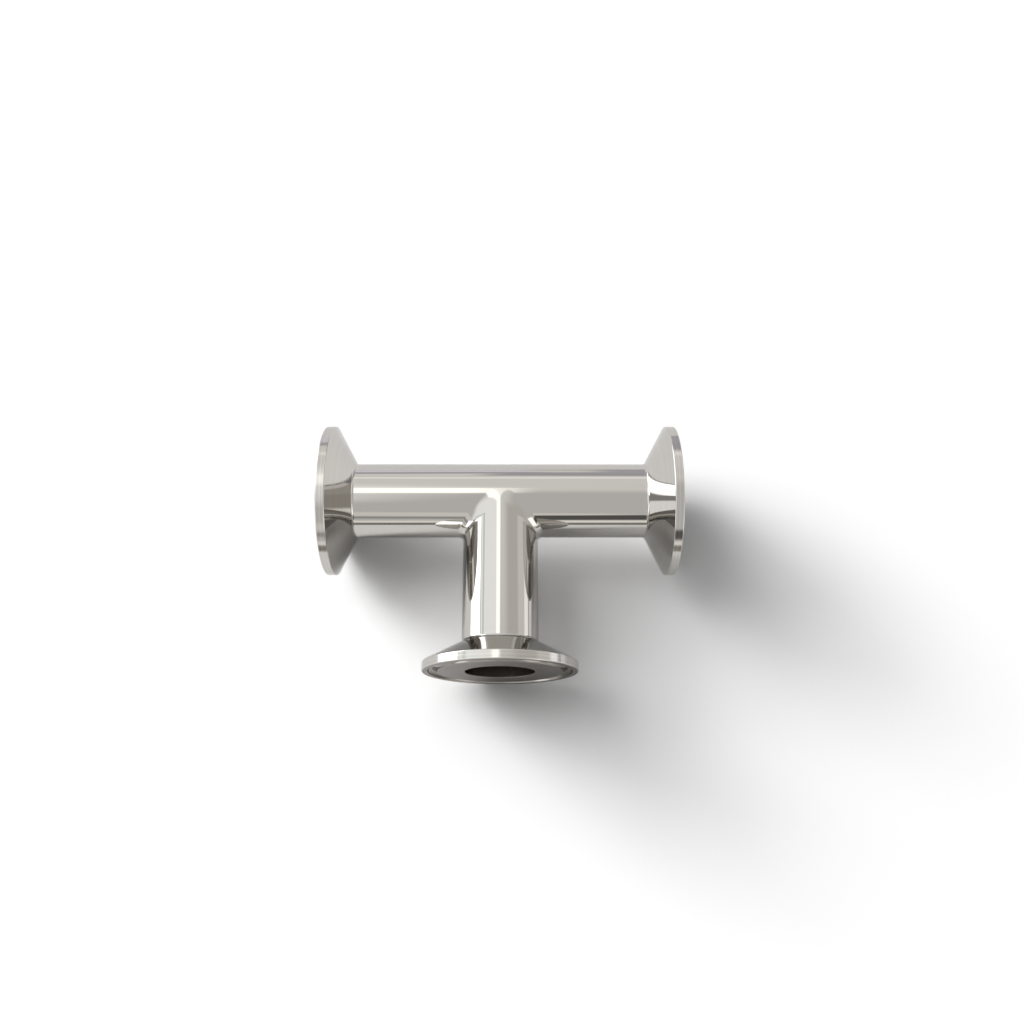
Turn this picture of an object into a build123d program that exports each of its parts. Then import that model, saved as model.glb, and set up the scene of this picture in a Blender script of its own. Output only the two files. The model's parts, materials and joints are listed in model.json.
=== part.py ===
from build123d import *
import os
from math import radians, tan

# Equal sanitary clamp tee for 25 mm tube: a tee body drawn from tube, with three turned clamp
# ferrules butt-welded to its ends and the welds polished flush.
# Lengths are in millimetres. The origin is where the tube axes cross, +X runs along the run,
# the branch points to -Y and +Z is up. The tee lies on the three flange rims.

# Tube of the tee body and of the ferrule necks
tube_diameter = 25.0
tube_wall = 1.2

# From the crossing of the axes to each sealing face
run_reach = 58.3
branch_reach = 58.3

# Rounding on the outside where the branch grows out of the run
crotch_radius = 2.0

# Ferrule: sealing face to weld, flange, and the cone behind it
ferrule_length = 12.7
flange_diameter = 50.5
rim_thickness = 2.85
cone_angle = 28.0
root_radius = 1.0

# Gasket groove in the sealing face: a round-bottomed ring on the 43.5 mm circle
groove_inset = 3.5
groove_radius = 1.6
groove_depth = 1.45

# Broken edges
rim_front_radius = 0.3
rim_back_radius = 0.4
groove_edge_radius = 0.15
bore_edge_radius = 0.2

# Worked out from the sizes above
tube_radius = tube_diameter / 2
bore_radius = tube_radius - tube_wall
flange_radius = flange_diameter / 2
groove_circle_radius = flange_radius - groove_inset
inner_crotch_radius = crotch_radius + tube_wall
root_depth = rim_thickness + (flange_radius - tube_radius) * tan(radians(cone_angle))
run_arm = run_reach - ferrule_length
branch_arm = branch_reach - ferrule_length

same_height = 0.01
upwards = (Align.CENTER, Align.CENTER, Align.MIN)


def half_bars(radius):
    """Two round bars of one radius, from the crossing of the axes to the +X and the -Y weld."""
    run = Rot(0, 90, 0) * Cylinder(radius, run_arm, align=upwards)
    branch = Rot(90, 0, 0) * Cylinder(radius, branch_arm, align=upwards)
    return run + branch


def round_crotch(body, bar_radius, radius):
    """Round the curved edge on which two bars of one radius meet."""
    edges = [
        edge
        for edge in body.edges().filter_by(GeomType.ELLIPSE)
        if abs(edge.bounding_box().max.Z - bar_radius) < same_height
    ]
    return fillet(edges, radius)


def tee_quarter():
    """The quarter of the tee body at positive X and Z, with one wall all round the crotch."""
    room = Box(run_arm, tube_radius + branch_arm, tube_radius, align=(Align.MIN, Align.MAX, Align.MIN))
    quarter = (half_bars(tube_radius) - half_bars(bore_radius)) & (Pos(0, tube_radius, 0) * room)
    quarter = round_crotch(quarter, tube_radius, crotch_radius)
    return round_crotch(quarter, bore_radius, inner_crotch_radius)


def tee_body():
    """The drawn tee, which is alike left and right of the branch and above and below the axes."""
    quarter = tee_quarter()
    upper_half = quarter + mirror(quarter, Plane.YZ)
    return upper_half + mirror(upper_half, Plane.XY)


def round_corner(profile, x, y, radius):
    """Round the corner of a flat profile that lies nearest to the point x, y."""
    corner = profile.vertices().sort_by_distance((x, y, 0))[0]
    return fillet(corner, radius)


def ferrule_profile():
    """Half section of a ferrule: x is the distance from the axis, y is 0 at the sealing face."""
    outline = Polyline(
        (bore_radius, -ferrule_length),
        (tube_radius, -ferrule_length),
        (tube_radius, -root_depth),
        (flange_radius, -rim_thickness),
        (flange_radius, 0),
        (bore_radius, 0),
        close=True,
    )
    groove_centre = groove_radius - groove_depth
    groove_half_width = (groove_radius**2 - groove_centre**2) ** 0.5
    profile = make_face(outline) - Pos(groove_circle_radius, groove_centre) * Circle(groove_radius)
    profile = round_corner(profile, tube_radius, -root_depth, root_radius)
    profile = round_corner(profile, flange_radius, -rim_thickness, rim_back_radius)
    profile = round_corner(profile, flange_radius, 0, rim_front_radius)
    profile = round_corner(profile, groove_circle_radius + groove_half_width, 0, groove_edge_radius)
    profile = round_corner(profile, groove_circle_radius - groove_half_width, 0, groove_edge_radius)
    return round_corner(profile, bore_radius, 0, bore_edge_radius)


def ferrule():
    """A turned ferrule on the Z axis, sealing face at z = 0 and facing +Z."""
    return revolve(Plane.XZ * ferrule_profile(), Axis.Z)


pieces = {
    "tee_body": tee_body(),
    "left_run_ferrule": Pos(-run_reach, 0, 0) * Rot(0, -90, 0) * ferrule(),
    "right_run_ferrule": Pos(run_reach, 0, 0) * Rot(0, 90, 0) * ferrule(),
    "branch_ferrule": Pos(0, -branch_reach, 0) * Rot(90, 0, 0) * ferrule(),
}

os.makedirs("parts", exist_ok=True)
for name, piece in pieces.items():
    export_step(piece, f"parts/{name}.step")
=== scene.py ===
import json
from functools import cache
from math import atan, cos, pi, radians, sin, sqrt, tan

import bpy
from mathutils import Matrix, Vector


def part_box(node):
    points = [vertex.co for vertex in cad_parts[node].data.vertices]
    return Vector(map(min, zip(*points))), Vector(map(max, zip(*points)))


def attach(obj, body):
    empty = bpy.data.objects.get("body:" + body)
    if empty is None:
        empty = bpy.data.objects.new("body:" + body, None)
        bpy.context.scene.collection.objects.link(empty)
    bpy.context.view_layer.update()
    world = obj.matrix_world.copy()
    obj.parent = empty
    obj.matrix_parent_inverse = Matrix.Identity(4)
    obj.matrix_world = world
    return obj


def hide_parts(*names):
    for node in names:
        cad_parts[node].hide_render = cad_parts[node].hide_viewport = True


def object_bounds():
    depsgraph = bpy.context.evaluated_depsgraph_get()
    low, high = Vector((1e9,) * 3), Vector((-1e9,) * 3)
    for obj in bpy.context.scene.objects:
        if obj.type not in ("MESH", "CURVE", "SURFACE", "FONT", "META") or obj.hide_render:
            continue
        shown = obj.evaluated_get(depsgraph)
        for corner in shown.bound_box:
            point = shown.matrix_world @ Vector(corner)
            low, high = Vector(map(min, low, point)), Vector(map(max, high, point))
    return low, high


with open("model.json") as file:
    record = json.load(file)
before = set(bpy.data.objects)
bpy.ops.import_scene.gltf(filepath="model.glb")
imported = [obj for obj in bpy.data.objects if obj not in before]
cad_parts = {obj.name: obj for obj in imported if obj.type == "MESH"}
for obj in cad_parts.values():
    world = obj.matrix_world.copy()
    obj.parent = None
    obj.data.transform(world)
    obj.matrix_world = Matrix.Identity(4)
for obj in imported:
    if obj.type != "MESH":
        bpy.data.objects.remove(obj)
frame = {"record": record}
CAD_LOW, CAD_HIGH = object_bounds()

bl_info = {
    "name": "Sanitary Clamp Tee",
    "version": (1, 0, 0),
    "blender": (4, 5, 0),
    "location": "3D View > Sidebar > Clamp Tee",
    "description": "Builds an equal sanitary clamp tee in polished stainless steel, and its studio",
    "category": "Object",
}

# The frame is in metres, and the sizes below are written in millimetres.
MM = 0.001


def mount(name):
    """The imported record's entry for one mount."""
    return next(entry for entry in frame["record"]["mounts"] if entry["name"] == name)


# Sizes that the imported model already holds
BODY_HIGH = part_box("tee_body")[1]
TUBE_RADIUS = BODY_HIGH.z
WELD_REACH = BODY_HIGH.x
BORE_RADIUS = mount("run_bore")["dims"]["r_mm"] * MM
FLANGE_RADIUS = mount("branch_rim")["dims"]["r_mm"] * MM
RUN_REACH = mount("right_run_face")["pos_m"][0]
BRANCH_REACH = -mount("branch_face")["pos_m"][1]


def length(name, description, default):
    """A size that the user may change, held in metres."""
    return bpy.props.FloatProperty(
        name=name, description=description, default=default, min=0, precision=5, unit="LENGTH"
    )


def linear(code):
    """Linear red, green, blue and alpha of an sRGB hex colour."""
    parts = [int(code[at:at + 2], 16) / 255 for at in (1, 3, 5)]
    return [
        part / 12.92 if part <= 0.04045 else ((part + 0.055) / 1.055) ** 2.4
        for part in parts
    ] + [1.0]


def colour(name, description, code):
    """A colour that the user may change."""
    return bpy.props.FloatVectorProperty(
        name=name, description=description, default=linear(code),
        size=4, min=0, max=1, subtype="COLOR",
    )


def share(name, description, default):
    """A number from 0 to 1 that the user may change."""
    return bpy.props.FloatProperty(
        name=name, description=description, default=default, min=0, max=1, subtype="FACTOR"
    )


class ClampTeeSizes(bpy.types.PropertyGroup):
    """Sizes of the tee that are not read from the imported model's boxes."""

    tube_radius: length("Tube Radius", "Outside radius of the tube", TUBE_RADIUS)
    bore_radius: length("Bore Radius", "Inside radius of the tube", BORE_RADIUS)
    run_reach: length("Run Reach", "Crossing of the axes to a run face", RUN_REACH)
    branch_reach: length("Branch Reach", "Crossing of the axes to the branch face", BRANCH_REACH)
    weld_reach: length("Weld Reach", "Crossing of the axes to each weld", WELD_REACH)
    crotch_radius: length("Crotch Radius", "Rounding in plan where branch and run meet", 2.0 * MM)
    crown_radius: length("Crown Radius", "The same rounding where it runs out on top", 3.2 * MM)
    flange_radius: length("Flange Radius", "Outside radius of the clamp flange", FLANGE_RADIUS)
    rim_thickness: length("Rim Thickness", "Length of the flange's cylindrical rim", 2.85 * MM)
    root_radius: length("Root Radius", "Rounding where the cone meets the tube", 1.0 * MM)
    rim_back_radius: length("Rim Back Radius", "Rounding between rim and cone", 0.4 * MM)
    rim_front_radius: length("Rim Front Radius", "Rounding between rim and face", 0.3 * MM)
    groove_inset: length("Groove Inset", "Rim to the middle of the gasket groove", 3.5 * MM)
    groove_radius: length("Groove Radius", "Radius of the groove's round bottom", 1.6 * MM)
    groove_depth: length("Groove Depth", "Depth of the gasket groove", 1.45 * MM)
    groove_edge_radius: length("Groove Edge", "Rounding of the groove's two edges", 0.15 * MM)
    bore_edge_radius: length("Bore Edge", "Rounding of the bore at the face", 0.2 * MM)
    cone_angle: bpy.props.FloatProperty(
        name="Cone Angle",
        description="Slope of the clamping cone from the plane of the face",
        default=radians(28),
        unit="ROTATION",
    )
    around: bpy.props.IntProperty(
        name="Steps Around", description="Faces round a full circle", default=256, min=32, max=512
    )


class ClampTeeFinish(bpy.types.PropertyGroup):
    """Colours and polish of the steel."""

    steel: colour("Polished Steel", "Reflection colour of mirror-polished stainless steel", "#BEBBB6")
    turned: colour("Turned Steel", "Reflection colour of a fine-turned rim", "#BEBBB6")
    grooved: colour("Groove Steel", "Reflection colour of the gasket groove", "#8F8A84")
    # The face's colour is set well darker than the steel's. This is painted shade for the light its
    # turning grooves trap, on top of the real dullness of the satin.
    satin: colour("Satin Steel", "Reflection colour of the satin-turned face", "#78736C")
    drawn: colour("Drawn Steel", "Reflection colour of the drawn bore", "#9B948C")
    mirror_roughness: share("Mirror Roughness", "Roughness of the polished outside", 0.035)
    turned_roughness: share("Turned Roughness", "Roughness of the rim", 0.12)
    grooved_roughness: share("Groove Roughness", "Roughness of the gasket groove", 0.15)
    satin_roughness: share("Satin Roughness", "Roughness of the sealing face", 0.34)
    drawn_roughness: share("Drawn Roughness", "Roughness of the bore", 0.23)


class ClampTeeStudio(bpy.types.PropertyGroup):
    """Colours and levels of the floor and the light."""

    floor: colour("Floor", "Matt white paper", "#F2F2F2")
    sky_level: bpy.props.FloatProperty(
        name="Sky Level", description="Strength of the studio's light as a whole", default=1.0, min=0
    )


def settings():
    """The scene's sizes, finish and studio."""
    scene = bpy.context.scene
    return scene.clamp_tee_sizes, scene.clamp_tee_finish, scene.clamp_tee_studio


def fill(tree, socket, value):
    """Sets a node's input to a value, or joins it to another node's output."""
    if isinstance(value, bpy.types.NodeSocket):
        tree.links.new(value, socket)
    else:
        socket.default_value = value


def add_node(tree, kind, inputs=None, **values):
    """Adds a node, sets its properties and fills its inputs with values or other nodes' outputs."""
    node = tree.nodes.new(kind)
    for name, value in values.items():
        setattr(node, name, value)
    for key, value in (inputs or {}).items():
        fill(tree, node.inputs[key], value)
    return node


def add_mix(tree, factor, start, end):
    """Mixes two colours, each of them four numbers or a socket, and returns the mixed colour."""
    mix = add_node(tree, "ShaderNodeMix", {"Factor": factor}, data_type="RGBA")
    sockets = (socket for socket in mix.inputs if socket.type == "RGBA")
    for socket, value in zip(sockets, (start, end)):
        fill(tree, socket, value)
    return next(socket for socket in mix.outputs if socket.type == "RGBA")


def new_material(name):
    """An empty node material of that name, with its node tree."""
    material = bpy.data.materials.new(name)
    material.use_nodes = True
    material.node_tree.nodes.clear()
    return material, material.node_tree


# Steel reflects a little less than an ideal metal where it is seen at a slant, which draws thin dark
# outlines along the tubes.
STEEL_EDGE = (0.8, 0.8, 0.8, 1.0)

# Nearly all of a noise texture lies between these two values
NOISE_RANGE = {"From Min": 0.3, "From Max": 0.7}

# Drawn tube is wavy over about this length, and so little that only its reflections show it
TUBE_WAVES, WAVE_HEIGHT, WAVE_STRENGTH = 18 * MM, 1 * MM, 0.02
# Buffing leaves duller and brighter clouds of about this size
BUFFING_CLOUDS = 6 * MM
# A pickled surface has a grain of a few hundredths of a millimetre. It is drawn coarser, so that it
# shows.
BORE_GRAIN, GRAIN_DEPTH, GRAIN_STRENGTH = 0.5 * MM, 0.02 * MM, 0.03
# A lathe's feed leaves rings 0.1 to 0.2 mm apart. They are drawn coarser, so that they show.
FINE_RINGS, WIDE_RINGS = 0.25 * MM, 0.6 * MM


def finish_steel(tree, steel_colour, roughness, normal):
    """Joins a metal surface to the material's output."""
    steel = add_node(tree, "ShaderNodeBsdfPrincipled", {
        "Metallic": 1.0,
        "Base Color": steel_colour,
        "Specular Tint": STEEL_EDGE,
        "Roughness": roughness,
        "Normal": normal,
    })
    add_node(tree, "ShaderNodeOutputMaterial", {"Surface": steel.outputs["BSDF"]})


def varied_roughness(tree, noise, roughness, swing):
    """A roughness that follows the noise, up to that share below and above its mean."""
    spread = add_node(tree, "ShaderNodeMapRange", {
        "Value": noise,
        **NOISE_RANGE,
        "To Min": (1 - swing) * roughness,
        "To Max": (1 + swing) * roughness,
    })
    return spread.outputs["Result"]


def polished_steel():
    """Stainless steel, belt-ground and buffed to a mirror: sharp reflections, broken only by the
    faint waviness of drawn tube and by the buffing, which leaves some of them a little softer."""
    finish = settings()[1]
    material, tree = new_material("Stainless steel, mirror polished")
    place = add_node(tree, "ShaderNodeTexCoord").outputs["Object"]
    waviness = add_node(tree, "ShaderNodeTexNoise", {
        "Vector": place, "Scale": 1 / TUBE_WAVES, "Detail": 1.0,
    })
    cloud = add_node(tree, "ShaderNodeTexNoise", {
        "Vector": place, "Scale": 1 / BUFFING_CLOUDS, "Detail": 4.0,
    })
    roughness = varied_roughness(tree, cloud.outputs["Fac"], finish.mirror_roughness, 0.3)
    bump = add_node(tree, "ShaderNodeBump", {
        "Height": waviness.outputs["Fac"], "Strength": WAVE_STRENGTH, "Distance": WAVE_HEIGHT,
    })
    finish_steel(tree, finish.steel, roughness, bump.outputs["Normal"])
    return material


def turned_steel(name, steel_colour, roughness, pitch, depth, streaks):
    """Stainless steel turned on a lathe: rings of that pitch and depth round the object's own Z
    axis, which spread each reflection across them. Streaks is how much lighter or darker than the
    mean a ring can be."""
    material, tree = new_material(name)
    place = add_node(tree, "ShaderNodeTexCoord").outputs["Object"]
    parts = add_node(tree, "ShaderNodeSeparateXYZ", {"Vector": place})
    flat = add_node(tree, "ShaderNodeCombineXYZ", {
        "X": parts.outputs["X"], "Y": parts.outputs["Y"],
    })
    from_axis = add_node(tree, "ShaderNodeVectorMath", {
        0: flat.outputs["Vector"],
    }, operation="LENGTH")
    across = add_node(tree, "ShaderNodeMath", {
        0: from_axis.outputs["Value"], 1: parts.outputs["Z"],
    }, operation="SUBTRACT")
    rings = add_node(tree, "ShaderNodeTexNoise", {
        "W": across.outputs["Value"], "Scale": 1 / pitch, "Detail": 3.0,
    }, noise_dimensions="1D")
    ring = add_node(tree, "ShaderNodeMapRange", {"Value": rings.outputs["Fac"], **NOISE_RANGE})
    dark, light = (
        [level * part for part in steel_colour[:3]] + [1.0] for level in (1 - streaks, 1 + streaks)
    )
    shade = add_mix(tree, ring.outputs["Result"], dark, light)
    bump = add_node(tree, "ShaderNodeBump", {
        "Height": rings.outputs["Fac"], "Strength": 1.0, "Distance": depth,
    })
    spread = varied_roughness(tree, rings.outputs["Fac"], roughness, 0.2)
    finish_steel(tree, shade, spread, bump.outputs["Normal"])
    return material


def buffed_cone_steel():
    """The cone and the neck, turned and then buffed: a mirror in which faint rings are left."""
    finish = settings()[1]
    return turned_steel(
        "Stainless steel, turned and buffed", finish.steel, finish.mirror_roughness,
        pitch=WIDE_RINGS, depth=0.0003 * MM, streaks=0.025,
    )


def turned_rim_steel():
    """The rim, turned with a fine feed and left bright."""
    finish = settings()[1]
    return turned_steel(
        "Stainless steel, fine turned", finish.turned, finish.turned_roughness,
        pitch=WIDE_RINGS, depth=0.003 * MM, streaks=0.08,
    )


def form_turned_groove_steel():
    """The gasket groove and its edges, cut with a round-nosed form tool: duller than the rim, with
    bright crescents where its walls turn to the light."""
    finish = settings()[1]
    return turned_steel(
        "Stainless steel, form turned", finish.grooved, finish.grooved_roughness,
        pitch=FINE_RINGS, depth=0.001 * MM, streaks=0.04,
    )


def satin_face_steel():
    """The sealing face, turned to a satin: duller than the polished cone, and darker by painted shade
    that stands in for the light its turning grooves trap.
    """
    finish = settings()[1]
    # The face's colour carries painted shade: it is darker than steel to stand for the light its
    # grooves trap.
    return turned_steel(
        "Stainless steel, satin turned", finish.satin, finish.satin_roughness,
        pitch=FINE_RINGS, depth=0.004 * MM, streaks=0.06,
    )


def drawn_bore_steel():
    """The bore as drawn and pickled: a soft sheen that blurs what it mirrors and goes dark inside."""
    finish = settings()[1]
    material, tree = new_material("Stainless steel, drawn and pickled")
    place = add_node(tree, "ShaderNodeTexCoord").outputs["Object"]
    grain = add_node(tree, "ShaderNodeTexNoise", {
        "Vector": place, "Scale": 1 / BORE_GRAIN, "Detail": 3.0,
    })
    roughness = varied_roughness(tree, grain.outputs["Fac"], finish.drawn_roughness, 0.15)
    bump = add_node(tree, "ShaderNodeBump", {
        "Height": grain.outputs["Fac"], "Strength": GRAIN_STRENGTH, "Distance": GRAIN_DEPTH,
    })
    finish_steel(tree, finish.drawn, roughness, bump.outputs["Normal"])
    return material


# The finishes, in the order of every steel piece's material slots
FINISHES = {
    "polished": polished_steel,
    "buffed": buffed_cone_steel,
    "turned": turned_rim_steel,
    "grooved": form_turned_groove_steel,
    "satin": satin_face_steel,
    "bore": drawn_bore_steel,
}
FINISH_SLOTS = {finish: slot for slot, finish in enumerate(FINISHES)}


@cache
def steel_materials():
    """One material of each finish, made once and shared by all the pieces."""
    return [make() for make in FINISHES.values()]


# Points that agree to this many digits of a metre are one point
SHARED_DIGITS = 9
# A face whose corner normals differ by less than this is flat
FLAT = 1e-9


class Skin:
    """Collects the points, faces, corner normals and finishes of one closed mesh."""

    def __init__(self):
        self.points = []
        self.index = {}
        self.faces = []
        self.normals = []
        self.smooth = []
        self.finishes = []

    def point(self, place):
        """Number of the point at that place, which neighbouring faces share."""
        key = tuple(round(part, SHARED_DIGITS) for part in place)
        if key not in self.index:
            self.index[key] = len(self.points)
            self.points.append(key)
        return self.index[key]

    def face(self, corners, finish):
        """Adds a face from (place, normal) corners, turned so that it faces along its normals."""
        numbers, normals = [], []
        for place, normal in corners:
            number = self.point(place)
            if number not in numbers:
                numbers.append(number)
                normals.append(Vector(normal))
        if len(numbers) < 3:
            return
        first, second, third = (Vector(self.points[number]) for number in numbers[:3])
        if (second - first).cross(third - second).dot(sum(normals, Vector())) < 0:
            numbers.reverse()
            normals.reverse()
        self.faces.append(numbers)
        self.normals += [normal.normalized() for normal in normals]
        self.smooth.append(any((normal - normals[0]).length > FLAT for normal in normals))
        self.finishes.append(FINISH_SLOTS[finish])

    def grid(self, rows, finish):
        """Adds the faces between rows of (place, normal) corners."""
        for low_row, high_row in zip(rows, rows[1:]):
            for at in range(len(low_row) - 1):
                self.face([low_row[at], low_row[at + 1], high_row[at + 1], high_row[at]], finish)

    def make(self, name):
        """The finished object, with the exact normals of the shape that the faces stand for."""
        mesh = bpy.data.meshes.new(name)
        mesh.from_pydata(self.points, [], self.faces)
        mesh.polygons.foreach_set("use_smooth", self.smooth)
        for material in steel_materials():
            mesh.materials.append(material)
        mesh.polygons.foreach_set("material_index", self.finishes)
        mesh.normals_split_custom_set(self.normals)
        mesh.validate()
        mesh.update()
        piece = bpy.data.objects.new(name, mesh)
        bpy.context.scene.collection.objects.link(piece)
        return piece


def arc(centre, radius, start, end, steps, hollow=False):
    """Points and outward normals along an arc of a flat profile; angles are in radians."""
    line = []
    for step in range(steps + 1):
        angle = start + (end - start) * step / steps
        normal = Vector((cos(angle), sin(angle)))
        place = Vector(centre) + radius * normal
        line.append((place, -normal if hollow else normal))
    return line


def ferrule_profile(sizes):
    """Half section of a ferrule as (finish, line) parts; x is the distance from the axis and y is 0
    at the sealing face. Each line carries the normals of the real surface."""
    tube, bore, flange = sizes.tube_radius, sizes.bore_radius, sizes.flange_radius
    slope = sizes.cone_angle
    weld = sizes.weld_reach - sizes.run_reach
    corner_rise = sizes.rim_thickness + (flange - tube) * tan(slope)
    squeeze = (1 - sin(slope)) / cos(slope)

    root_centre = (tube + sizes.root_radius, -corner_rise - sizes.root_radius * squeeze)
    root = arc(root_centre, sizes.root_radius, pi, pi / 2 + slope, steps=10, hollow=True)
    back_radius = sizes.rim_back_radius
    back_centre = (flange - back_radius, -sizes.rim_thickness + back_radius * squeeze)
    back = arc(back_centre, back_radius, slope - pi / 2, 0, steps=8)
    front_radius = sizes.rim_front_radius
    front_centre = (flange - front_radius, -front_radius)
    front = arc(front_centre, front_radius, 0, pi / 2, steps=6)

    middle = flange - sizes.groove_inset
    groove_rise = sizes.groove_radius - sizes.groove_depth
    edge = sizes.groove_edge_radius
    lift = groove_rise + edge
    spread = sqrt((sizes.groove_radius + edge) ** 2 - lift**2)
    lean = atan(lift / spread)
    groove_centre = (middle, groove_rise)
    outer_edge = arc((middle + spread, -edge), edge, pi / 2, pi - lean, steps=5)
    groove = arc(groove_centre, sizes.groove_radius, -lean, lean - pi, steps=24, hollow=True)
    inner_edge = arc((middle - spread, -edge), edge, lean, pi / 2, steps=5)
    bore_edge_radius = sizes.bore_edge_radius
    bore_edge_centre = (bore + bore_edge_radius, -bore_edge_radius)
    bore_edge = arc(bore_edge_centre, bore_edge_radius, pi / 2, pi, steps=6)

    outward, inward, backward = Vector((1, 0)), Vector((-1, 0)), Vector((0, -1))
    weld_outside, weld_inside = Vector((tube, weld)), Vector((bore, weld))
    return [
        ("buffed", [(weld_outside, outward)] + root + back),
        ("turned", [back[-1]] + front),
        ("satin", [front[-1], outer_edge[0]]),
        ("grooved", outer_edge + groove + inner_edge),
        ("satin", [inner_edge[-1]] + bore_edge),
        ("bore", [bore_edge[-1], (weld_inside, inward)]),
        ("bore", [(weld_inside, backward), (weld_outside, backward)]),
    ]


def spun_ferrule(name, sizes, place):
    """A ferrule spun round its own Z axis, sealing face at z = 0, then set on its port."""
    skin = Skin()
    turns = [2 * pi * step / sizes.around for step in range(sizes.around)] + [0.0]
    for finish, line in ferrule_profile(sizes):
        rows = []
        for turn in turns:
            rows.append([
                (
                    (spot.x * cos(turn), spot.x * sin(turn), spot.y),
                    (normal.x * cos(turn), normal.x * sin(turn), normal.y),
                )
                for spot, normal in line
            ])
        skin.grid(rows, finish)
    piece = skin.make(name)
    piece.matrix_world = place
    return piece


# Steps of the tee's skin along each arm and round the crotch
ALONG, ROUND = 6, 20


def arm_stations(start, end):
    """Places along an arm from its weld to where the rounding of the crotch begins."""
    return [start + (end - start) * step / ALONG for step in range(ALONG + 1)]


def front_row(angle, radius, foot, crown, reach, inside):
    """One row of the skin at one angle round the run, all at one height: along the run to the
    crotch, round its corner, and along the branch. The rounding widens from foot to crown."""
    side = -1 if inside else 1
    corner, height = radius * cos(angle), radius * sin(angle)
    rounding = foot + (crown - foot) * sin(angle)
    widening = (crown - foot) * cos(angle)
    around = side * Vector((0, -cos(angle), sin(angle)))
    across = side * Vector((cos(angle), 0, sin(angle)))

    stations = arm_stations(reach, corner + rounding)
    row = [(Vector((at, -corner, height)), around) for at in stations[:-1]]
    for step in range(ROUND + 1):
        turn = pi / 2 * step / ROUND
        place = Vector((rounding * (1 - sin(turn)), -rounding * (1 - cos(turn)), 0))
        both = sin(turn) + cos(turn)
        rise = height * both - widening * (both - 1)
        normal = Vector((corner * sin(turn), -corner * cos(turn), rise))
        row.append((Vector((corner, -corner, height)) + place, side * normal))
    return row + [(Vector((corner, -at, height)), across) for at in reversed(stations[:-1])]


def back_row(angle, radius, crown, reach, inside):
    """One row of the skin on the back of the run, from the weld to the middle."""
    around = Vector((0, -cos(angle), sin(angle)))
    normal = -around if inside else around
    stations = arm_stations(reach, crown) + [0.0]
    return [(Vector((at, 0, 0)) + radius * around, normal) for at in stations]


def tee_skin(skin, sizes, radius, foot, crown, inside):
    """The outside or the inside of the tee body, mirrored from one quarter."""
    steps = sizes.around // 4
    reach = sizes.weld_reach
    finish = "bore" if inside else "polished"
    front_angles = [pi / 2 * step / steps for step in range(steps + 1)]
    front = [front_row(angle, radius, foot, crown, reach, inside) for angle in front_angles]
    back = [back_row(pi / 2 + angle, radius, crown, reach, inside) for angle in front_angles]
    top = Vector((0, 0, radius)), Vector((0, 0, -1 if inside else 1))
    crown_arc = [(spot, top[1]) for spot, _ in front[-1][ALONG:-ALONG]]
    for x_sign in (1, -1):
        for z_sign in (1, -1):
            flip = Vector((x_sign, 1, z_sign))
            for rows in (front, back, [[top] * len(crown_arc), crown_arc]):
                flipped = [[(spot * flip, normal * flip) for spot, normal in row] for row in rows]
                skin.grid(flipped, finish)


def weld_rings(skin, sizes):
    """The three flat ends of the tee body, which the ferrules are welded to."""
    ends = (
        (Vector((1, 0, 0)), Vector((0, 1, 0))),
        (Vector((-1, 0, 0)), Vector((0, 1, 0))),
        (Vector((0, -1, 0)), Vector((1, 0, 0))),
    )
    up = Vector((0, 0, 1))
    for outward, sideways in ends:
        rows = []
        for step in range(sizes.around + 1):
            turn = 2 * pi * (step % sizes.around) / sizes.around
            spoke = cos(turn) * sideways + sin(turn) * up
            centre = sizes.weld_reach * outward
            rows.append([
                (centre + sizes.bore_radius * spoke, outward),
                (centre + sizes.tube_radius * spoke, outward),
            ])
        skin.grid(rows, "bore")


class CLAMP_TEE_OT_body(bpy.types.Operator):
    """Build the drawn tee body in place of its plain solid"""

    bl_idname = "clamp_tee.body"
    bl_label = "Tee Body"

    def execute(self, context):
        sizes = settings()[0]
        wall = sizes.tube_radius - sizes.bore_radius
        foot, crown = sizes.crotch_radius, sizes.crown_radius
        skin = Skin()
        tee_skin(skin, sizes, sizes.tube_radius, foot, crown, inside=False)
        tee_skin(skin, sizes, sizes.bore_radius, foot + wall, crown + wall, inside=True)
        weld_rings(skin, sizes)
        piece = skin.make("drawn_tee_body")
        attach(piece, "root")
        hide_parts("tee_body")
        return {"FINISHED"}


class CLAMP_TEE_OT_ferrules(bpy.types.Operator):
    """Build the three turned clamp ferrules in place of their plain solids"""

    bl_idname = "clamp_tee.ferrules"
    bl_label = "Clamp Ferrules"

    def execute(self, context):
        sizes = settings()[0]
        ports = {
            "left_run_ferrule": ((-sizes.run_reach, 0, 0), -pi / 2, "Y"),
            "right_run_ferrule": ((sizes.run_reach, 0, 0), pi / 2, "Y"),
            "branch_ferrule": ((0, -sizes.branch_reach, 0), pi / 2, "X"),
        }
        for node, (face, turn, axis) in ports.items():
            place = Matrix.Translation(face) @ Matrix.Rotation(turn, 4, axis)
            piece = spun_ferrule("turned_" + node, sizes, place)
            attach(piece, "root")
            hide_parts(node)
        return {"FINISHED"}


# The camera stands above and a little in front, and looks down at the photograph's angle.
CAMERA_PLACE = Vector((3.85, -109.90, 313.43)) * MM
CAMERA_TILT = radians(18.673)
CAMERA_LENS = 34.31
CAMERA_NEAREST = 10 * MM
# The sheet of paper that the tee lies on: its left, front, right and back edges
PAPER_EDGES = [edge * MM for edge in (-280, -200, 280, 300)]

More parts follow.
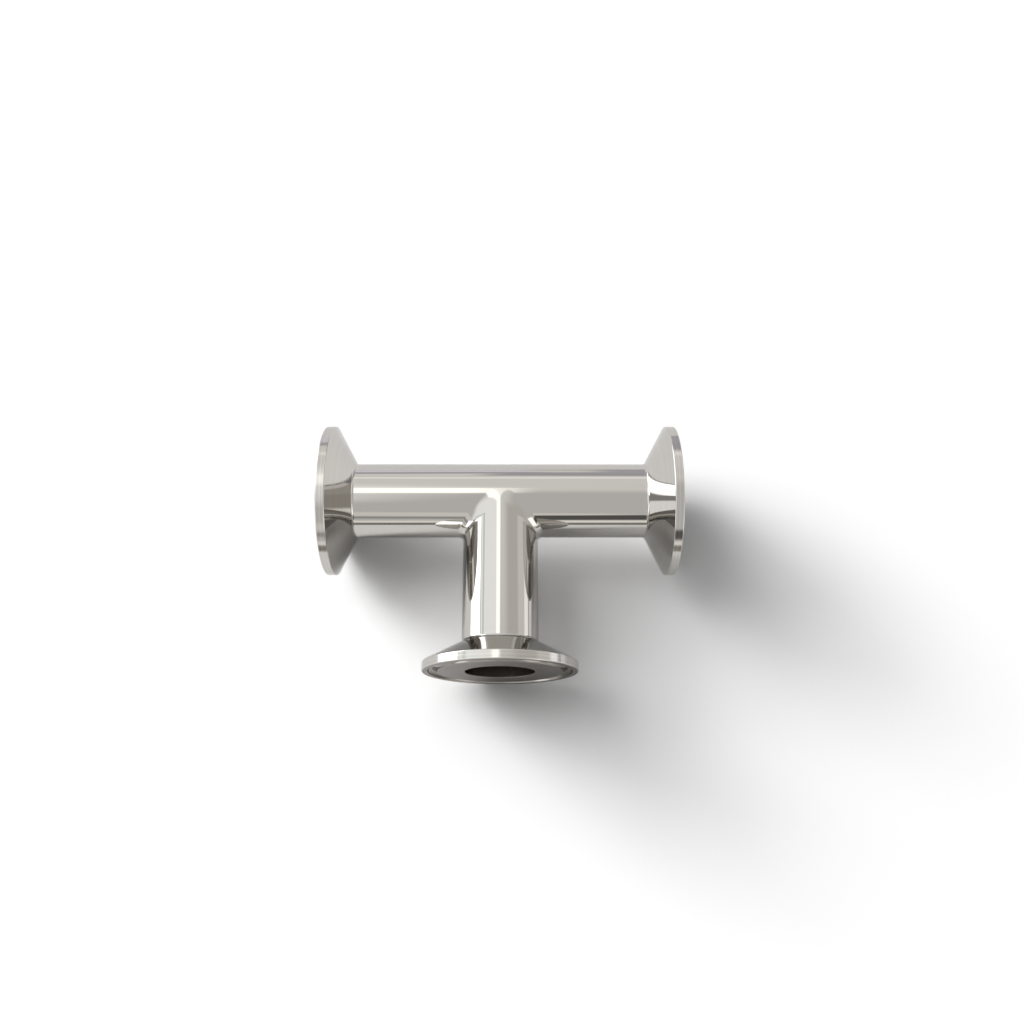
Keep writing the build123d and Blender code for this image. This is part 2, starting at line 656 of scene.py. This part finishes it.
# The studio round the tee: soft-edged panels far away, each laid over those before it. Each row is
# a name, the compass direction in degrees from +Y towards +X, the height above the horizon in
# degrees, the turn about its own middle in degrees, the width and height in degrees, the share of
# the smaller side over which the edge fades, the colour and the brightness. REFLECTED is what the
# metal mirrors, and LIGHTS is what lights the paper. The two RESTs are the brightness between them.
REFLECTED_REST = 0.78
REFLECTED = (
    ("back board", 0, 40, 0, 100, 80, 0.7, "#FFFEFC", 1.06),
    ("right upper shade", 76, 44, 0, 56, 50, 1.0, "#FFFCF8", 0.74),
    ("left board", -80, 44, 0, 60, 76, 0.9, "#FCFEFF", 1.42),
    ("left seam", -76, 37, 0, 40, 5, 0.8, "#EEFCF4", 1.04),
    ("right board", 66, 22, 0, 40, 24, 0.6, "#FFFCF8", 0.95),
    ("right dim wall", 102, 12, 0, 40, 40, 0.5, "#FFFCF8", 0.8),
    ("back low wall, left", -45, 0, 0, 92, 24, 0.4, "#F8F5FF", 1.08),
    ("back low wall, right", 45, 0, 0, 80, 24, 0.4, "#F8F5FF", 0.66),
    ("back dark line, left", -45, 15, 0, 92, 8, 0.8, "#F6F2FF", 0.6),
    ("back dark line, right", 27, 18, 0, 54, 17, 0.4, "#F8F6FF", 0.62),
    ("right horizon line", 80, 5, 0, 44, 14, 0.4, "#FFFFFF", 1.45),
    ("back light line", 0, 33, 0, 110, 6, 0.8, "#FFFEFC", 1.34),
    ("front light line", -150, 31, 0, 64, 12, 0.8, "#FFFCF8", 1.0),
    ("front dark line", -150, 19, 0, 56, 7, 0.6, "#FFFCF8", 0.46),
    ("front flag", 161, 18, 0, 38, 16, 0.3, "#FFFCF8", 0.14),
    ("front low shade", 180, -7, 0, 110, 14, 0.5, "#FFF8F0", 0.34),
    ("front low light line", 180, 3.4, 0, 110, 7.2, 0.4, "#FFFCF8", 1.2),
    ("right front panel", 130, 20, 0, 34, 30, 0.3, "#FFFFFF", 2.0),
    ("window gap", -86, 14, 0, 30, 30, 0.2, "#FCFEFF", 0.72),
    ("window", -59, 8, 0, 48, 38, 0.12, "#F6F8FF", 4.6),
    ("side window", -113, 13, 0, 28, 24, 0.3, "#F6F8FF", 2.6),
    ("top softbox", -23, 75.5, -23, 10.4, 15.8, 0.9, "#FFFEFA", 2.2),
)
LIGHTS_REST = 0.21
LIGHTS = (
    ("back board", 0, 48, 0, 110, 50, 0.6, "#FFFFFF", 0.53),
    ("left board", -112, 45, 0, 50, 56, 0.6, "#FFFFFF", 0.64),
    ("tall softbox", -60, 46, 0, 22, 40, 0.6, "#FFFFFF", 4.9),
    ("key softbox, edge", -59, 22, 0, 50, 34, 0.5, "#FFFFFF", 7.3),
    ("key softbox, middle", -57, 21, 0, 20, 14, 0.5, "#FFFFFF", 27.5),
    ("top softbox", -23, 75.5, -23, 11, 16, 0.4, "#FFFFFF", 3.1),
)


def direction(azimuth, elevation):
    """Unit vector of a compass direction and a height above the horizon, in degrees."""
    turn, rise = radians(azimuth), radians(elevation)
    return Vector((sin(turn) * cos(rise), cos(turn) * cos(rise), sin(rise)))


def panel_mask(tree, ray, azimuth, elevation, spin, width, height, softness):
    """1 where the ray meets a soft-edged rectangle, and 0 elsewhere."""
    centre = direction(azimuth, elevation)
    rightward = direction(azimuth + 90, 0)
    rightward.rotate(Matrix.Rotation(radians(spin), 3, centre))
    upward = rightward.cross(centre)
    ahead = add_node(tree, "ShaderNodeVectorMath", {0: ray, 1: centre}, operation="DOT_PRODUCT")
    mask = add_node(tree, "ShaderNodeMath", {
        0: ahead.outputs["Value"], 1: 0.0,
    }, operation="GREATER_THAN")
    edge = softness * min(tan(radians(width) / 2), tan(radians(height) / 2))
    for axis, span in ((rightward, width), (upward, height)):
        aside = add_node(tree, "ShaderNodeVectorMath", {0: ray, 1: axis}, operation="DOT_PRODUCT")
        slope = add_node(tree, "ShaderNodeMath", {
            0: aside.outputs["Value"], 1: ahead.outputs["Value"],
        }, operation="DIVIDE")
        offset = add_node(tree, "ShaderNodeMath", {
            0: slope.outputs["Value"],
        }, operation="ABSOLUTE")
        half = tan(radians(span) / 2)
        within = add_node(tree, "ShaderNodeMapRange", {
            "Value": offset.outputs["Value"],
            "From Min": half - edge / 2, "From Max": half + edge / 2, "To Min": 1.0, "To Max": 0.0,
        }, interpolation_type="SMOOTHSTEP")
        mask = add_node(tree, "ShaderNodeMath", {
            0: mask.outputs["Value"], 1: within.outputs["Result"],
        }, operation="MULTIPLY")
    return mask.outputs["Value"]


def grey(level, code="#FFFFFF"):
    """A colour of that brightness, as a shader's four numbers."""
    return [level * part for part in linear(code)[:3]] + [1.0]


def panel_sky(tree, ray, rest, panels):
    """The sky with those panels laid over an even brightness."""
    sky = grey(rest)
    for name, *place, code, level in panels:
        sky = add_mix(tree, panel_mask(tree, ray, *place), sky, grey(level, code))
    return sky


def make_sky():
    """The studio's light. The camera sees a white backdrop, the metal mirrors the reflected panels,
    and everything else is lit by the lights."""
    studio = settings()[2]
    world = bpy.data.worlds.new("Studio sky")
    world.use_nodes = True
    tree = world.node_tree
    tree.nodes.clear()
    ray = add_node(tree, "ShaderNodeTexCoord").outputs["Generated"]
    path = add_node(tree, "ShaderNodeLightPath")
    # Before a ray is scattered by paper, its diffuse depth is 0
    direct = add_node(tree, "ShaderNodeMath", {
        0: path.outputs["Diffuse Depth"], 1: 0.5,
    }, operation="LESS_THAN")
    mirrored = add_node(tree, "ShaderNodeMath", {
        0: path.outputs["Is Glossy Ray"], 1: direct.outputs["Value"],
    }, operation="MULTIPLY").outputs["Value"]
    lights, reflected, backdrop = (
        add_node(tree, "ShaderNodeBackground", {"Color": sky, "Strength": studio.sky_level}).outputs[0]
        for sky in (
            panel_sky(tree, ray, LIGHTS_REST, LIGHTS),
            panel_sky(tree, ray, REFLECTED_REST, REFLECTED),
            grey(1.0),
        )
    )
    # A mix of shaders works out only the sky that a ray needs
    unseen = add_node(tree, "ShaderNodeMixShader", {0: mirrored, 1: lights, 2: reflected})
    sky = add_node(tree, "ShaderNodeMixShader", {
        0: path.outputs["Is Camera Ray"], 1: unseen.outputs["Shader"], 2: backdrop,
    })
    add_node(tree, "ShaderNodeOutputWorld", {"Surface": sky.outputs["Shader"]})
    bpy.context.scene.world = world


def make_floor():
    """The sheet of white paper that the three rims rest on."""
    studio = settings()[2]
    left, front, right, back = PAPER_EDGES
    low = CAD_LOW.z
    corners = [(left, front, low), (right, front, low), (right, back, low), (left, back, low)]
    mesh = bpy.data.meshes.new("studio_floor")
    mesh.from_pydata(corners, [], [(0, 1, 2, 3)])
    material, tree = new_material("Paper, matt white")
    paper = add_node(tree, "ShaderNodeBsdfDiffuse", {"Color": studio.floor})
    add_node(tree, "ShaderNodeOutputMaterial", {"Surface": paper.outputs["BSDF"]})
    mesh.materials.append(material)
    floor = bpy.data.objects.new("studio_floor", mesh)
    bpy.context.scene.collection.objects.link(floor)


def make_camera():
    """A camera at the photograph's place."""
    camera = bpy.data.cameras.new("Camera")
    camera.lens = CAMERA_LENS
    camera.clip_start = CAMERA_NEAREST
    view = bpy.data.objects.new("Camera", camera)
    view.location = CAMERA_PLACE
    view.rotation_euler = (CAMERA_TILT, 0, 0)
    bpy.context.scene.collection.objects.link(view)
    bpy.context.scene.camera = view


class CLAMP_TEE_OT_stage(bpy.types.Operator):
    """Set up the floor, the light and the camera"""

    bl_idname = "clamp_tee.stage"
    bl_label = "Studio"

    def execute(self, context):
        make_floor()
        make_sky()
        make_camera()
        context.scene.view_settings.view_transform = "Standard"
        return {"FINISHED"}


class CLAMP_TEE_PT_panel(bpy.types.Panel):
    """Sizes, finish and steps of the clamp tee"""

    bl_idname = "CLAMP_TEE_PT_panel"
    bl_label = "Clamp Tee"
    bl_space_type = "VIEW_3D"
    bl_region_type = "UI"
    bl_category = "Clamp Tee"

    def draw(self, context):
        for group in settings():
            box = self.layout.box()
            for name in group.bl_rna.properties.keys():
                if name not in ("rna_type", "name"):
                    box.prop(group, name)
        for operator in OPERATORS:
            self.layout.operator(operator.bl_idname)


GROUPS = {
    "clamp_tee_sizes": ClampTeeSizes,
    "clamp_tee_finish": ClampTeeFinish,
    "clamp_tee_studio": ClampTeeStudio,
}
OPERATORS = (CLAMP_TEE_OT_body, CLAMP_TEE_OT_ferrules, CLAMP_TEE_OT_stage)
CLASSES = tuple(GROUPS.values()) + OPERATORS + (CLAMP_TEE_PT_panel,)


def register():
    for kind in CLASSES:
        bpy.utils.register_class(kind)
    for name, group in GROUPS.items():
        setattr(bpy.types.Scene, name, bpy.props.PointerProperty(type=group))


def unregister():
    for name in GROUPS:
        delattr(bpy.types.Scene, name)
    for kind in reversed(CLASSES):
        bpy.utils.unregister_class(kind)


def main():
    register()
    bpy.ops.clamp_tee.body()
    bpy.ops.clamp_tee.ferrules()
    bpy.ops.clamp_tee.stage()


if __name__ == "__main__":
    main()
